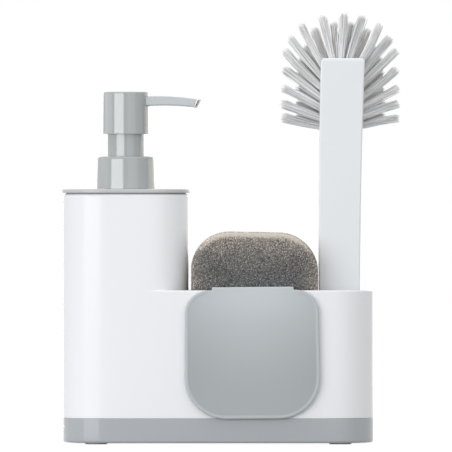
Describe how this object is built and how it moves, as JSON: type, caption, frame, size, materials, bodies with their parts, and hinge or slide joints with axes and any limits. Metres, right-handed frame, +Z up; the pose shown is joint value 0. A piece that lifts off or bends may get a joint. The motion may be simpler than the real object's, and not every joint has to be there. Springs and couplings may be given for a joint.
{
  "type": "soap pump caddy",
  "caption": "Sink caddy: a stadium-shaped holder with a soap tower and lotion pump, a hanging front plate, a sponge, a dish brush and a drip tray base.",
  "frame": {"origin": "on the table plane, under the centre of the whole object's box", "axes": "+Z up, -Y towards the side with the hanging plate (the picture's front), +X towards the brush"},
  "size_m": [0.2093, 0.0583, 0.2667],
  "materials": {
    "grey_base": "satin",
    "soft_foot": "matte",
    "white_shell": "semi-gloss",
    "grey_lid": "satin",
    "soft_seal": "matte",
    "pump_natural": "natural",
    "gasket_foam": "matte",
    "grey_pump": "semi-gloss",
    "valve_steel": "polished",
    "spring_steel": "bright",
    "spout_grey": "semi-gloss",
    "grey_plate": "satin",
    "sponge_foam": "open cell",
    "brush_white": "satin",
    "bristle_nylon": "nylon"
  },
  "bodies": {
    "base": {"base_tray": "grey_base", "base_feet": "soft_foot"},
    "caddy": {"caddy_body": "white_shell"},
    "lid": {"lid_plate": "grey_lid", "lid_seal": "soft_seal"},
    "pump_core": {"pump_cylinder": "pump_natural", "collar_gasket": "gasket_foam", "neck_sleeve": "grey_pump", "inlet_ball": "valve_steel", "dip_tube": "pump_natural", "return_spring": "spring_steel"},
    "screw_collar": {"collar": "grey_pump"},
    "plunger": {"piston": "pump_natural", "piston_stem": "pump_natural"},
    "pump_head": {"head_cap": "grey_pump", "spout": "spout_grey"},
    "hanging_plate": {"front_plate": "grey_plate"},
    "sponge_pad": {"sponge": "sponge_foam"},
    "brush": {"brush_handle": "brush_white", "brush_head": "brush_white", "bristles_rim": "bristle_nylon", "bristles_mid": "bristle_nylon", "bristles_back": "bristle_nylon"}
  },
  "joints": [
    {"name": "caddy_lift", "type": "slide", "parent": "base", "child": "caddy", "axis": [0, 0, 1], "range_m": [0, 0.05]},
    {"name": "lid_lift", "type": "slide", "parent": "caddy", "child": "lid", "axis": [0, 0, 1], "range_m": [0, 0.14]},
    {"name": "collar_rise", "type": "slide", "parent": "lid", "child": "pump_core", "axis": [0, 0, 1], "range_m": [0, 0.0063]},
    {"name": "collar_turn", "type": "hinge", "parent": "pump_core", "child": "screw_collar", "pos_m": [-0.06542, 0.00135, 0.168], "axis": [0, 0, 1], "range_deg": [0, 540]},
    {"name": "pump_press", "type": "slide", "parent": "pump_core", "child": "plunger", "axis": [0, 0, -1], "range_m": [0, 0.0135], "stiffness_N_per_m": 350, "springref_m": -0.01, "deforming": ["return_spring"]},
    {"name": "spout_swivel", "type": "hinge", "parent": "plunger", "child": "pump_head", "pos_m": [-0.06542, 0.00135, 0.205], "axis": [0, 0, 1], "continuous": true},
    {"name": "plate_lift", "type": "slide", "parent": "caddy", "child": "hanging_plate", "axis": [0, 0, 1], "range_m": [0, 0.04]},
    {"name": "sponge_lift", "type": "slide", "parent": "caddy", "child": "sponge_pad", "axis": [0, 0, 1], "range_m": [0, 0.075]},
    {"name": "brush_lift", "type": "slide", "parent": "caddy", "child": "brush", "axis": [0, 0, 1], "range_m": [0, 0.1]}
  ],
  "couplings": [
    {"joint": "collar_rise", "follows": "collar_turn", "m_per_rad": 0.00066845}
  ]
}
